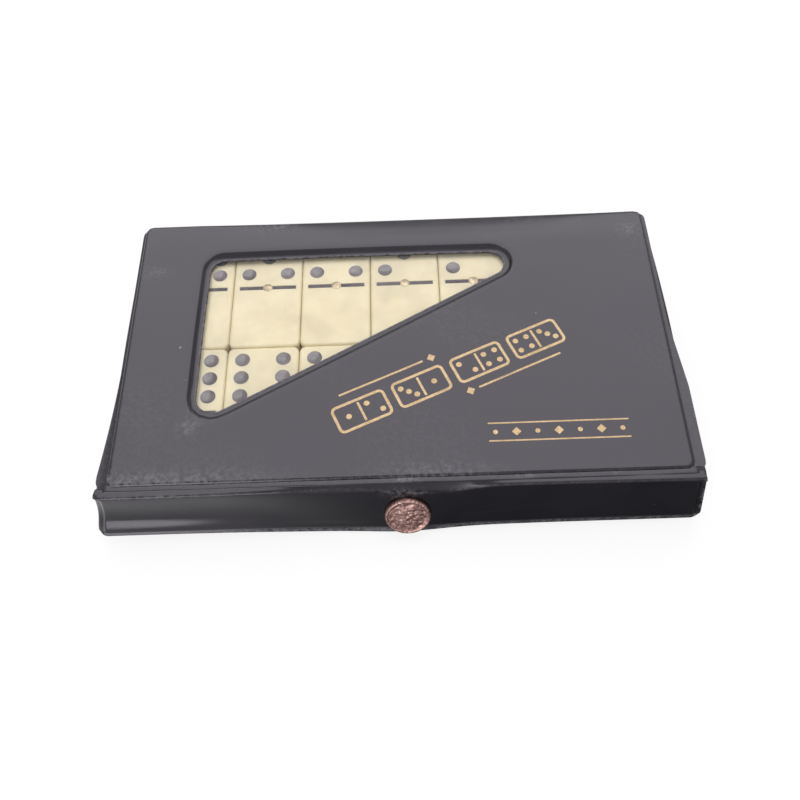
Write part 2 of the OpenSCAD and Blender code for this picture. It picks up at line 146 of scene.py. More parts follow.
table = bpy.data.meshes.new("table")
table.from_pydata([(-3, -3, 0), (3, -3, 0), (3, 3, 0), (-3, 3, 0)], [], [(0, 1, 2, 3)])
table_top = put("table", table)
white_table, tree, shader = finish("white_table", {"Base Color": (0.15, 0.15, 0.15, 1), "Roughness": 0.8,
                                                   "Emission Color": (1, 1, 1, 1)})
# The box's sheen mirrors the table all white left of x = -6 cm and from 30 cm on, and near the box's
# right half as it is lit.
spot = own_place(tree)
away = node(tree, "ShaderNodeVectorMath", {0: spot}, operation="LENGTH").outputs["Value"]
near = ranged(tree, away, 0.3, 0.14)
along = node(tree, "ShaderNodeSeparateXYZ", {0: spot}).outputs["X"]
right = ranged(tree, along, -0.06, 0.014)
near = calc(tree, "MULTIPLY", near, right)
mirrored = node(tree, "ShaderNodeLightPath").outputs["Is Glossy Ray"]
near = calc(tree, "MULTIPLY", near, mirrored)
glow = calc(tree, "SUBTRACT", unseen(tree), near)
glow = calc(tree, "MULTIPLY", glow, 0.85)
tree.links.new(glow, shader.inputs["Emission Strength"])
table.materials.append(white_table)

lens = bpy.data.cameras.new("camera")
lens.sensor_width = 36
lens.lens = 37.53
lens.clip_start = 0.01
camera = put("camera", lens)
bpy.context.scene.camera = camera
# The camera stands 30 cm off, looks down by 60 degrees and is tilted by 3 degrees.
height, turn, roll = 1.055, 0.019, -0.05
camera_at = (0.003211, -0.151778, 0.254622)
back = np.array([math.sin(turn) * math.cos(height), -math.cos(turn) * math.cos(height), math.sin(height)])
level = unit(np.cross(-back, (0, 0, 1)))
upright = np.cross(level, -back)
side = level * math.cos(roll) + upright * math.sin(roll)
top = upright * math.cos(roll) - level * math.sin(roll)
seat = np.column_stack([side, top, back, camera_at])
camera.matrix_world = Matrix([*seat.tolist(), [0, 0, 0, 1]])
bpy.context.scene.view_settings.view_transform = "Standard"

# ---------- The tray: vinyl outside ----------
# Four greyboard walls on a greyboard floor, covered with black PVC that is turned over the rim
# and welded to the bottom sheet. The ends belly out, because nothing holds them in the middle.


def outline(corners, radii, bellies, step):
    """Points and outward normals round a closed edge, anticlockwise.

    Each corner is an arc of its radius. Each side that follows a corner is straight, or bows out by
    its belly times 4u(1 - u), with u going from 0 to 1 along it.
    """
    corners = np.array(corners, float)
    ahead = unit(np.roll(corners, -1, 0) - corners)
    leaving = np.column_stack([ahead[:, 1], -ahead[:, 0]])
    arriving = np.roll(leaving, 1, 0)
    points, normals = [], []
    for corner, radius, first, last in zip(corners, radii, arriving, leaving):
        half = math.acos(np.clip(first @ last, -1, 1)) / 2
        middle = corner - unit(first + last) * radius / math.cos(half)
        count = max(9, int(2 * half * radius / step))
        turn = math.atan2(first[1], first[0]) + np.linspace(0, 2 * half, count)
        arc = np.column_stack([np.cos(turn), np.sin(turn)])
        points.append(middle + radius * arc)
        normals.append(arc)
    sides = []
    for i, (belly, out) in enumerate(zip(bellies, leaving)):
        begin, end = points[i][-1], points[(i + 1) % len(corners)][0]
        count = max(2, int(np.linalg.norm(end - begin) / step))
        u = np.linspace(0, 1, count + 1)[1:-1, None]
        along = unit((end - begin) + out * belly * 4 * (1 - 2 * u))
        sides.append((begin + (end - begin) * u + out * belly * 4 * u * (1 - u),
                      np.column_stack([along[:, 1], -along[:, 0]])))
    edge = [part for pair in zip(points, [s[0] for s in sides]) for part in pair]
    facing = [part for pair in zip(normals, [s[1] for s in sides]) for part in pair]
    return np.vstack(edge), np.vstack(facing)


def by_angle(edge, facing, middle, angles):
    """The same edge with one point for each angle about a middle, so that two edges can be joined."""
    own = np.arctan2(edge[:, 1] - middle[1], edge[:, 0] - middle[0])
    turned = [np.interp(angles, own, column, period=2 * math.pi) for column in (*edge.T, *facing.T)]
    return np.column_stack(turned[:2]), unit(np.column_stack(turned[2:]))


def carried(edge, facing, profile):
    """A profile of (outward, height) pairs carried round an edge: point = edge + outward * normal."""
    profile = np.array(profile, float)
    plan = edge[None] + profile[:, 0, None, None] * facing[None]
    high = np.broadcast_to(profile[:, 1, None, None], (*plan.shape[:2], 1))
    return np.concatenate([plan, high], axis=2)


def skin(name, grids, material, ways=("open",), crease=35):
    """A mesh from grids of points in millimetres, whose faces look along (row step) x (column step).

    ways holds words for each grid: round joins the last column to the first, ring the last row to
    the first, and first and last fill that row with one flat face.
    """
    points, faces, first = [], [], 0
    for grid, way in zip(grids, ways):
        rows, columns = grid.shape[:2]
        index = first + np.arange(rows * columns).reshape(rows, columns)
        if "first" in way:
            faces.append(index[0].tolist())
        if "last" in way:
            faces.append(index[-1, ::-1].tolist())
        if "round" in way:
            index = np.hstack([index, index[:, :1]])
        if "ring" in way:
            index = np.vstack([index, index[:1]])
        quads = np.stack([index[:-1, :-1], index[1:, :-1], index[1:, 1:], index[:-1, 1:]], axis=2)
        faces += quads.reshape(-1, 4).tolist()
        points.append(grid.reshape(-1, 3))
        first += rows * columns
    mesh = bpy.data.meshes.new(name)
    mesh.from_pydata((np.vstack(points) * 0.001).tolist(), [], faces)
    mesh.shade_smooth()
    mesh.set_sharp_from_angle(angle=math.radians(crease))
    mesh.materials.append(material)
    return put(name, mesh)


def merge(made):
    """Joins the points of a piece that lie within 0.01 mm of each other, and smooths it again."""
    work = bmesh.new()
    work.from_mesh(made.data)
    bmesh.ops.remove_doubles(work, verts=work.verts, dist=0.00001)
    work.to_mesh(made.data)
    work.free()
    made.data.shade_smooth()
    made.data.set_sharp_from_angle(angle=math.radians(35))


def hold(made, body, slot, *nodes):
    """The piece rides on a body and stands for these solids. The slot it is given is not used."""
    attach(made, body)
    if nodes:
        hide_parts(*nodes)


def kept(value):
    """The value, kept between 0 and 1."""
    return np.clip(value, 0, 1)


def noise(tree, place, scale, detail, roughness=0.5, distortion=0.0):
    """Cloudy noise from 0 to 1, with so many clouds to the metre."""
    values = {"Vector": place, "Scale": scale, "Detail": detail, "Roughness": roughness,
              "Distortion": distortion}
    return node(tree, "ShaderNodeTexNoise", values).outputs["Fac"]


def effect(name, inputs, outputs):
    """An empty group of shader nodes, with its inputs and outputs: (name, starting value) and names."""
    group = bpy.data.node_groups.new(name, "ShaderNodeTree")
    for label, value in inputs:
        group.interface.new_socket(label, in_out="INPUT", socket_type="NodeSocketFloat").default_value = value
    for label in outputs:
        group.interface.new_socket(label, in_out="OUTPUT", socket_type="NodeSocketFloat")
    return group, group.nodes.new("NodeGroupInput").outputs, group.nodes.new("NodeGroupOutput").inputs


# Handling marks: soft smudges from hands, short pale scratches, and specks of dust.
marks, given, result = effect("handling_marks", [("Smudge Size", 25.0), ("Speck Size", 4.0)],
                              ["Smudges", "Scratches", "Specks"])
place = own_place(marks)
smudge = noise(marks, place, calc(marks, "DIVIDE", 1000.0, given["Smudge Size"]), 5.0, 0.62)
marks.links.new(ranged(marks, smudge, 0.42, 0.72), result["Smudges"])
slanted = node(marks, "ShaderNodeMapping", {"Vector": place, "Rotation": (0, 0, 0.6),
                                            "Scale": (230, 1500, 600)})
scratch = noise(marks, slanted.outputs[0], 1.0, 3.0)
marks.links.new(ranged(marks, scratch, 0.75, 0.82), result["Scratches"])
per_metre = calc(marks, "DIVIDE", 1000.0, given["Speck Size"])
cells = node(marks, "ShaderNodeTexVoronoi", {"Vector": place, "Scale": per_metre, "Randomness": 1.0})
pick = node(marks, "ShaderNodeSeparateColor", {"Color": cells.outputs["Color"]})
picked = ranged(marks, pick.outputs["Red"], 0.8, 1.0, 0.0, 0.07)
speck = calc(marks, "SUBTRACT", picked, cells.outputs["Distance"])
marks.links.new(ranged(marks, speck, 0.0, 0.03), result["Specks"])

# The fine unevenness of a calendered or moulded surface, as a height.
grain, given, result = effect("fine_grain", [("Grain Size", 0.6), ("Wave Size", 9.0), ("Wave Share", 0.5)],
                              ["Height"])
place = own_place(grain)
fine = noise(grain, place, calc(grain, "DIVIDE", 1000.0, given["Grain Size"]), 3.0)
broad = noise(grain, place, calc(grain, "DIVIDE", 1000.0, given["Wave Size"]), 1.0)
mixed = node(grain, "ShaderNodeMix", {"Factor": given["Wave Share"], "A": fine, "B": broad})
grain.links.new(mixed.outputs["Result"], result["Height"])


def handled(tree, smudge_size, speck_size):
    """The handling marks for sizes in millimetres: Smudges, Scratches and Specks."""
    sizes = {"Smudge Size": smudge_size, "Speck Size": speck_size}
    return node(tree, "ShaderNodeGroup", sizes, node_tree=marks).outputs


def dulled(tree, shader, wear, clean, smudged):
    """Sets the roughness, which goes from clean to smudged with the smudges."""
    dull = ranged(tree, wear["Smudges"], 0, 1, clean, smudged)
    tree.links.new(dull, shader.inputs["Roughness"])


def grained(tree, grain_size, wave_size, wave_share):
    """The fine grain's height for sizes in millimetres."""
    sizes = {"Grain Size": grain_size, "Wave Size": wave_size, "Wave Share": wave_share}
    return node(tree, "ShaderNodeGroup", sizes, node_tree=grain).outputs["Height"]


def dented(tree, shader, height, strength, distance):
    """Makes a shader's surface as uneven as a height says, over a distance in metres."""
    bump = node(tree, "ShaderNodeBump", {"Strength": strength, "Distance": distance, "Height": height})
    tree.links.new(bump.outputs[0], shader.inputs["Normal"])


def vinyl(name, colour, pale, roughness, depth):
    """PVC sheet: one colour, paler and duller where it is scuffed, has dust on it or is worn.

    The piece's own values, stored as "worn", say where a fold, a weld or the lid's face has rubbed,
    and also where a highlight is painted on: along the lid's front edge and on the flap's crease and rim.
    """
    material, tree, shader = finish(name, {"Specular IOR Level": 0.44, "Specular Tint": (0.97, 0.92, 1, 1)})
    wear = handled(tree, 45.0, 8.0)
    rubbed = node(tree, "ShaderNodeAttribute", attribute_name="worn").outputs["Fac"]
    broken = ranged(tree, noise(tree, own_place(tree), 620.0, 5.0, 0.6), 0.4, 0.9)
    dust_wear_and_sheen = calc(tree, "MULTIPLY", wear["Scratches"], 0.3)
    dust_wear_and_sheen = calc(tree, "MAXIMUM", dust_wear_and_sheen, wear["Specks"])
    # The stored values bring both rubbing and painted highlights into the paleness.
    dust_wear_and_sheen = calc(tree, "MAXIMUM", dust_wear_and_sheen, calc(tree, "MULTIPLY", rubbed, broken))
    dust_wear_and_sheen = calc(tree, "MAXIMUM", dust_wear_and_sheen, calc(tree, "MULTIPLY", wear["Smudges"], 0.015))
    dust_wear_and_sheen = calc(tree, "MULTIPLY", dust_wear_and_sheen, 0.7)
    smudged = ranged(tree, wear["Smudges"], 0, 1, 0.9, 1.35)
    tinted = node(tree, "ShaderNodeVectorMath", {0: colour[:3], "Scale": smudged}, operation="SCALE")
    shown = mix_colour(tree, dust_wear_and_sheen, tinted.outputs[0], pale)
    tree.links.new(shown, shader.inputs["Base Color"])
    dull = ranged(tree, wear["Smudges"], 0, 1, roughness, roughness + 0.1)
    dull = calc(tree, "ADD", dull, dust_wear_and_sheen)
    tree.links.new(dull, shader.inputs["Roughness"])
    dented(tree, shader, grained(tree, 0.4, 16.0, 0.86), depth, 0.0006)
    return material


black_vinyl = vinyl("black_vinyl", (0.0048, 0.0042, 0.0072), (0.42, 0.41, 0.43, 1), 0.16, 0.1)

wall_low, wall_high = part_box("wall_cover")
tray_y = (wall_low[1] + wall_high[1]) * 500
tray_w, tray_d, tray_h = 182.7, 105.15, wall_high[2] * 1000
rim_w, rim_d = 178.2, 100.65


def box_corners(width, depth, y):
    """Corners of a rectangle about x = 0, anticlockwise from the front left."""
    return [(-width / 2, y - depth / 2), (width / 2, y - depth / 2),
            (width / 2, y + depth / 2), (-width / 2, y + depth / 2)]


walls, walls_out = outline(box_corners(tray_w, tray_d, tray_y), [2.5] * 4, [0, 1.5, 0, 0.7], 1.5)
rim, rim_out = outline(box_corners(rim_w, rim_d, tray_y), [0.6] * 4, [0] * 4, 0.5)
rim, rim_out = by_angle(rim, rim_out, (0, tray_y), np.arctan2(walls[:, 1] - tray_y, walls[:, 0]))
over_rim = carried(rim, rim_out, [(0, tray_h - 0.35), (0.02, tray_h - 0.12), (0.15, tray_h)])
down_wall = [(-0.8, tray_h), (-0.4, tray_h - 0.06), (-0.12, tray_h - 0.28), (0, tray_h - 0.7), (0.12, 17),
             (0.25, 13.5), (0.3, 10), (0.27, 6.5), (0.15, 3), (0.02, 1.3), (-0.12, 0.6), (-0.45, 0.15),
             (-0.9, 0), (-2.6, 0), (-2.8, 0.14), (-3.3, 0.14), (-3.5, 0)]
outer = carried(walls, walls_out, down_wall)
# The sheet lies in long shallow waves on the walls, deepest at mid height.
wave = 0.16 * np.sin(walls[:, 0] / 7 + walls[:, 1] / 5) + 0.1 * np.sin(walls[:, 0] / 3.1 - walls[:, 1] / 4)
swell = kept(np.sin(math.pi * outer[:, :, 2] / tray_h))
outer[:, :, :2] += (swell * (wave - 0.1))[:, :, None] * walls_out[None]
tray_vinyl = skin("tray_vinyl", [np.vstack([over_rim, outer])], black_vinyl, ["round last"])
hold(tray_vinyl, "tray", "vinyl", "wall_cover", "bottom_cover")

# ---------- The tray: boards and lining ----------
# Grey chipboard, cut with a knife and hidden in the vinyl, and a thin dull vinyl sheet glued to
# its inner side.


def greyboard():
    """Chipboard: warm grey, with darker and lighter fibres lying every way."""
    material, tree, shader = finish("greyboard", {"Roughness": 0.9, "Specular IOR Level": 0.25})
    fibre = noise(tree, own_place(tree), 900.0, 6.0, distortion=1.5)
    ramp = node(tree, "ShaderNodeValToRGB", {"Fac": fibre})
    dark, light = ramp.color_ramp.elements
    dark.position, dark.color = 0.35, (0.2, 0.16, 0.115, 1)
    light.position, light.color = 0.7, (0.38, 0.32, 0.23, 1)
    tree.links.new(ramp.outputs["Color"], shader.inputs["Base Color"])
    dented(tree, shader, fibre, 0.4, 0.0002)
    return material


def dress(material, *names):
    """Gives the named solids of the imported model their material."""
    for name in names:
        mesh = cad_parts[name].data
        mesh.materials.clear()
        mesh.materials.append(material)


board = greyboard()
dress(board, "bottom_board", "front_board", "back_board", "left_board", "right_board")
lining_vinyl = vinyl("lining_vinyl", (0.034, 0.032, 0.042), (0.25, 0.24, 0.25, 1), 0.55, 0.6)
dress(lining_vinyl, "tray_lining")

# ---------- The tiles ----------
# Cast urea resin, ivory, tumbled so that every edge is round. Each has a bowl for every pip and a
# groove for the bar; the face is a grid that closes into rings round each place that a pip can have.

pip_dx, pip_dy, pip_end = 6.85, 6.9, 4.9
tile_w, tile_l, tile_t, tile_round, tile_edge = 24.0, 49.5, 8.5, 2.2, 0.9
foot_round = 0.7
bowl_r, bowl_depth, lip = 2.5, 0.8, 0.04
ball = (bowl_r**2 + bowl_depth**2) / (2 * bowl_depth)
groove_l, groove_w, groove_depth = 19.9, 1.5, 0.3
ring_r, ring_end = 3.4, 0.82
pip_rows = tile_l / 2 - pip_end - pip_dy * np.arange(3)
tile_core = np.array([tile_w / 2 - tile_round, tile_l / 2 - tile_round])
quarter = np.radians([0, 22.5, 45, 67.5, 90])


def pip_places(number, half):
    """Where the pips of one number lie on a tile's half, 1 for the back one and -1 for the front one."""
    near, middle, far = pip_rows[2], pip_rows[1], pip_rows[0]
    spots = {0: [], 1: [(0, middle)], 2: [(-1, near), (1, far)], 3: [(-1, near), (0, middle), (1, far)]}
    four = [(-1, near), (1, near), (-1, far), (1, far)]
    spots.update({4: four, 5: four + [(0, middle)], 6: four + [(-1, middle), (1, middle)]})
    return [(half * column * pip_dx, half * row) for column, row in spots[number]]


def face_lines(middles, reach, edge, extra):
    """Grid lines across a face: each pip's own lines, from its middle to its reach, and extra ones."""
    share = np.array([0.28, 0.5, 0.66, 0.74, 0.82, 1.0])
    share = np.concatenate([-share[::-1], [0], share])
    lines = np.concatenate([middle + reach * share for middle in middles] + [extra, np.negative(extra)])
    lines = np.unique(np.round(np.concatenate([lines, [-edge, edge]]), 4))
    nearest = np.array(middles)[np.abs(lines[:, None] - np.array(middles)[None]).argmin(1)]
    return lines, nearest, (lines - nearest) / reach


def face_plan():
    """The face's grid in plan: square rings of lines drawn into circles round each pip's place.

    On ring m, from 0 at the middle to 1 at the cell's edge, the circle's radius is ring_r times m;
    past ring_end it turns back into the cell's square. At the tile's corners squares turn round too.
    """
    half_w, half_l = tile_w / 2 - tile_edge, tile_l / 2 - tile_edge
    across, x_mid, a = face_lines([-pip_dx, 0, pip_dx], pip_dx / 2, half_w, [half_w - 0.4])
    along, y_mid, b = face_lines([*pip_rows, *-pip_rows], pip_dy / 2, half_l,
                                 [0, 0.35, 0.66, 0.84, 1.5, half_l - 0.25])
    a, b = np.meshgrid(a, b[::-1])
    x_mid, y_mid = np.meshgrid(x_mid, y_mid[::-1])
    ring = np.maximum(np.abs(a), np.abs(b))
    square = np.stack([a * pip_dx / 2, b * pip_dy / 2], 2)
    length = np.maximum(np.linalg.norm(square, axis=2), 1e-9)
    back = kept((ring - ring_end) / 0.18)[:, :, None]
    circle = square / length[:, :, None] * (ring_r * ring)[:, :, None]
    plan = np.stack([x_mid, y_mid], 2) + (1 - back) * circle + back * square
    plan = np.where((ring <= 1)[:, :, None], plan, np.stack(np.meshgrid(across, along[::-1]), 2))
    past = np.clip(np.abs(plan) - tile_core, 0, None)
    shrink = past.max(2) / np.maximum(np.linalg.norm(past, axis=2), 1e-9)
    rounded = np.sign(plan) * (tile_core + past * shrink[:, :, None])
    return np.where((past.min(2) > 0)[:, :, None], rounded, plan)


def tile_shape(plan, back, front):
    """A tile's grids: its face, and the round edge carried down its side to the flat bottom.

    The face sinks by the depth d of each bowl's ball, made soft at its lip as
    (d + sqrt(d^2 + lip^2)) / 2, and by the bar's groove.
    """
    sunk = np.zeros(plan.shape[:2])
    for spot in pip_places(back, 1) + pip_places(front, -1):
        away = np.linalg.norm(plan - np.array(spot), axis=2)
        deep = np.sqrt(np.clip(ball**2 - away**2, 0, None)) - ball + bowl_depth
        sunk += (deep + np.sqrt(deep**2 + lip**2)) / 2 * (away < 3.3)
    inside = kept((groove_l / 2 - np.abs(plan[:, :, 0])) / 0.5 + 0.5)
    inside *= kept((groove_w / 2 - np.abs(plan[:, :, 1])) / 0.18 + 0.5)
    face = np.dstack([plan, tile_t - sunk - groove_depth * inside])
    edge = np.vstack([face[-1, :-1], face[:0:-1, -1], face[0, :0:-1], face[:-1, 0]])[:, :2]
    out = unit(edge - np.clip(edge, -tile_core, tile_core))
    across, down = np.sin(quarter), 1 - np.cos(quarter)
    top_edge = np.column_stack([tile_edge * across, tile_t - tile_edge * down])
    low_edge = np.column_stack([tile_edge - foot_round * down, foot_round * (1 - across)])
    return face, carried(edge, out, np.vstack([top_edge, low_edge]))


def ivory():
    """Aged urea resin: ivory, yellower in clouds, with faint grey smears and small dark specks."""
    material, tree, shader = finish("ivory_resin", {"Specular IOR Level": 0.4, "Subsurface Weight": 0.15,
                                                    "Subsurface Radius": (1, 0.7, 0.4),
                                                    "Subsurface Scale": 0.002})
    clouds = ranged(tree, noise(tree, own_place(tree), 70.0, 4.0, 0.6), 0.3, 0.7)
    tone = mix_colour(tree, clouds, (0.92, 0.83, 0.57, 1), (0.82, 0.72, 0.46, 1))
    wear = handled(tree, 11.0, 2.6)
    smear = calc(tree, "MULTIPLY", wear["Smudges"], 0.38)
    tone = mix_colour(tree, smear, tone, (0.56, 0.5, 0.36, 1))
    fleck = calc(tree, "MULTIPLY", wear["Specks"], 0.5)
    tone = mix_colour(tree, fleck, tone, (0.25, 0.2, 0.14, 1))
    tree.links.new(tone, shader.inputs["Base Color"])
    dulled(tree, shader, wear, 0.28, 0.45)
    dented(tree, shader, grained(tree, 0.4, 6.0, 0.8), 0.15, 0.0003)
    return material


ivory_resin = ivory()
plan = face_plan()
dishes = {"pips_top_layer": [], "pips_low_layer": []}
# The lacquer in one bowl: hollow on top, with its last ring tucked in under the rim.
turn = np.linspace(0, 2 * math.pi, 31)[:-1]
pip_r = 2.52
dish_r = np.array([0.6, 1.2, 1.75, 2.15, 2.42, pip_r, 2.2])[:, None]
dish_z = 0.03 - 0.52 * (1 - (dish_r / pip_r) ** 2) ** 1.2
dish_z[-1] = -0.3
dish = np.stack([dish_r * np.cos(turn), dish_r * np.sin(turn), dish_z + 0 * turn], 2)
tiles = [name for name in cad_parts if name.startswith("tile_")]
for name in tiles:
    low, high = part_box(name)
    seat = np.array([(low[0] + high[0]) * 500, (low[1] + high[1]) * 500, low[2] * 1000])
    back, front = int(name[5]), int(name[7])
    face, side = tile_shape(plan, back, front)
    resin = skin(name + "_resin", [face + seat, side + seat], ivory_resin, ["open", "round last"])
    merge(resin)
    hold(resin, "tray", "tile", name)
    layer = "pips_top_layer" if low[2] > 0.008 else "pips_low_layer"
    dishes[layer] += [dish + seat + (*spot, tile_t) for spot in pip_places(back, 1) + pip_places(front, -1)]

# ---------- Pips, bars and pins ----------
# The bowls and grooves are wiped with thick dark lacquer, which dries hollow. A brass pin with a
# low dome is driven through the bar, so that the tiles spin and don't scratch each other.


def lacquer(name, colour, worn_colour, coat):
    """Thick grey-black lacquer, lighter where it has worn and dulled.

    The piece's own values, stored as "hollow", are painted shade: dark at each bowl's rim, paler towards its
    middle.
    """
    material, tree, shader = finish(name, {"Specular IOR Level": 0.2, "Coat Weight": coat,
                                           "Coat Roughness": 0.1})
    wear = handled(tree, 9.0, 1.6)
    hollow = node(tree, "ShaderNodeAttribute", attribute_name="hollow").outputs["Fac"]
    light = calc(tree, "MAXIMUM", hollow, wear["Smudges"])
    tree.links.new(mix_colour(tree, light, colour, worn_colour), shader.inputs["Base Color"])
    dulled(tree, shader, wear, 0.25, 0.4)
    return material


def metal(name, colour, worn_colour, roughness, dents, bare=1.0):
    """Plated or bare metal, or foil that is only partly bare, blotched with a worn colour and dented."""
    material, tree, shader = finish(name, {"Metallic": bare})
    wear = handled(tree, 5.0, 1.0)
    blotch = ranged(tree, noise(tree, own_place(tree), 1300.0, 3.0), 0.4, 0.6)
    tree.links.new(mix_colour(tree, blotch, colour, worn_colour), shader.inputs["Base Color"])
    dulled(tree, shader, wear, roughness, roughness + 0.2)
    dented(tree, shader, grained(tree, 0.35, 1.2, 0.5), dents, 0.0002)
    return material


def mark(made, label, values):
    """Stores a value from 0 to 1 for each point of a piece, under the name that its material reads."""
    values = np.ravel(values).astype(np.float32)
    made.data.attributes.new(label, "FLOAT", "POINT").data.foreach_set("value", values)


pip_lacquer = lacquer("pip_lacquer", (0.085, 0.07, 0.073, 1), (0.24, 0.2, 0.21, 1), 1.0)
# Painted shade in each bowl: the lacquer is darkest at the rim and paler towards the middle.
painted_bowl_shading = np.repeat(0.25 * (1 - (dish_r[:, 0] / pip_r) ** 3), len(turn))
for name, shapes in dishes.items():
    made = skin(name + "_lacquer", shapes, pip_lacquer, ["round first last"] * len(shapes), crease=60)
    mark(made, "hollow", np.tile(painted_bowl_shading, len(shapes)))
    hold(made, "tray", "enamel", name)
dress(lacquer("bar_lacquer", (0.06, 0.048, 0.056, 1), (0.12, 0.098, 0.11, 1), 0.0), "bar_enamel")
brass = metal("spinner_brass", (0.5, 0.42, 0.29, 1), (0.3, 0.24, 0.15, 1), 0.42, 0.3, 0.8)
dress(brass, "spinner_pins")

# ---------- The lid ----------
# One sheet of black PVC over thick board. It is turned down round a three-cornered opening and
# welded to the clear film under it, and welded to the inner sheet along both ends.

lid_low, lid_high = [np.array(corner) * 1000 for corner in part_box("lid_cover")]
lid_w, lid_d, lid_y = lid_high[0] * 2, lid_high[1] - lid_low[1], (lid_high[1] + lid_low[1]) / 2
lid_top, lining_top, lid_foot, weld_w = lid_high[2], 21, 20.48, 1.3
window_corners = [(-65, lid_y + 35.35), (-65.5, lid_y - 30.25), (53, lid_y + 35.35)]
heart = np.array([-26.0, lid_y + 12])


def bell(value, middle, width):
    """1 at the middle, falling on both sides as exp(-u^2), with u the distance over the width."""
    return np.exp(-(((value - middle) / width) ** 2))


def lid_relief(x, y):
    """How high the lid's face lies over its plane: long shallow waves, which die out towards the
    lid's edges and towards the opening, whose distance is the largest of those from its three sides.
    """
    waves = 0.1 * np.sin(x / 19 + 0.8) * np.cos((y - lid_y) / 15 + 0.4) + 0.05 * np.sin((x + 1.7 * y) / 13)
    inset = np.minimum(lid_w / 2 - weld_w - np.abs(x), lid_d / 2 - np.abs(y - lid_y)) - 1.5
    begin = np.array(window_corners)
    along = unit(np.roll(begin, -1, 0) - begin)
    past = [(x - px) * ay - (y - py) * ax for (px, py), (ax, ay) in zip(begin, along)]
    return (waves - 0.12) * kept(np.minimum(inset, np.max(past, axis=0) - 5.2) / 12)


# The opening's edge and the lid's edge get one point each on the same bearings from the heart: those
# of every fourth point of both, and of all points round their corners.
frame_edge = outline(box_corners(lid_w - 2 * weld_w, lid_d, lid_y), [2.9] * 4, [0] * 4, 0.4)
opening = outline(window_corners, [5, 5.8, 5], [0.15, 0.2, 0.3], 0.4)
bearings = [np.arctan2(edge[:, 1] - heart[1], edge[:, 0] - heart[0]) for edge, _ in (frame_edge, opening)]
spread = [np.concatenate([bearing[::4], bearing[sharp]]) for bearing, sharp in
          zip(bearings, [np.abs(frame_edge[1]).max(1) < 0.999, np.abs(np.gradient(opening[1][:, 0])) > 0.02])]
bearings = np.unique(np.round(np.concatenate(spread), 3))
border, border_out = by_angle(*frame_edge, heart, bearings)
mouth, mouth_out = by_angle(*opening, heart, bearings)

# From the cut edge at the film, over the weld, up the soft shoulder and out to the lid's face. On the
# slanting side the weld shows as a flat band with a pressed line; elsewhere the sheet rolls down to it.
reach = np.array([0, 0, 0.1, 0.45, 0.6, 0.8, 0.95, 1.4, 1.75, 2.05, 2.3, 2.55, 2.8, 3.15, 3.7, 4.4, 5.2])
banded = np.array([21.02, 21.38, 21.46, 21.47, 21.4, 21.4, 21.47, 21.5, 21.55, 21.7, 22.0, 22.38, 22.66,
                   22.84, 22.94, 22.99, lid_top])
rolled_in = np.array([21.02, 21.32, 21.42, 21.5, 21.54, 21.6, 21.66, 21.85, 22.05, 22.25, 22.43, 22.6, 22.74,
                      22.87, 22.95, 22.99, lid_top])
slanting = kept(0.4 + 1.4 * (mouth_out @ np.array([0.489, -0.872])))
near_mouth = carried(mouth, mouth_out, np.column_stack([reach, banded]))
near_mouth[:, :, 2] = rolled_in[:, None] + slanting * (banded - rolled_in)[:, None]
# The sheet puckers round the opening's left front corner.
off_x, off_y = near_mouth[:, :, 0] + 62, near_mouth[:, :, 1] - lid_y + 24
pucker = bell(np.hypot(off_x, off_y), 5, 6) * np.sin(7 * np.arctan2(off_y, off_x))
near_mouth[:, :, 2] += 0.1 * pucker * kept(np.minimum(reach - 0.5, 5.2 - reach) / 1.5)[:, None]
face_edge = carried(border, border_out, [(-2.7, lid_top)])[0]
share = np.linspace(0, 1, 26)[1:-1, None, None]
across_face = near_mouth[-1][None] * (1 - share) + face_edge[None] * share
roll_over = [(-2.7, lid_top), (-2.2, lid_top), (-1.6, lid_top)]
roll_over += list(zip(np.sin(quarter) - 1, lid_top - 1 + np.cos(quarter)))
rolled = carried(border, border_out, roll_over + [(0, 21.4), (0, lining_top)])
# The weld stands out at the ends only: its width is weld_w times the normal's x squared, and it
# widens towards the front corners, where the fold pulls it out.
forward = lid_y - border[:, 1]
flare = np.where(border[:, 0] > 0, 2.3 * kept((forward + 4) / 26),
                 2.5 * kept(forward / 47) ** 2)
ends = (weld_w + flare)[:, None] * np.abs(border_out[:, :1]) ** 2
shelf = [(0.35, 20.93), (0.7, 20.86), (1.0, 20.86), (1, lid_foot)]
curl = np.where(border[:, 0] > 0, 0.5, -0.1) * np.abs(border_out[:, 0]) ** 4
weld = [np.column_stack([border + border_out * ends * out, high + curl * out]) for out, high in shelf]
under = carried(border, border_out, [(-1.5, lid_foot)])[0]
inner = carried(mouth, mouth_out, [(3.4, 21.03)])[0]
lid_grid = np.concatenate([near_mouth, across_face, rolled, weld, [under, inner]])


def back_sag(x, high):
    """How far the lid's back edge sinks: up to 1.7 mm right of the middle, and less the lower a point
    lies over the lining, so that the underside stays flat.
    """
    sag = 0.4 + 1.3 * kept(1 - ((x - 15) / 85) ** 2)
    return sag * kept((high - lining_top) / (lid_top - lining_top))


def settled(grid):
    """The lid's face with its waves and its sunken back edge."""
    x, y, high = grid[:, :, 0], grid[:, :, 1], grid[:, :, 2]
    back = kept((y - lid_y - 38) / (lid_d / 2 - 38)) ** 2
    return np.dstack([x, y, high + lid_relief(x, y) - back * back_sag(x, high)])


lid_vinyl = skin("lid_vinyl", [settled(lid_grid)], black_vinyl, ["round ring"])
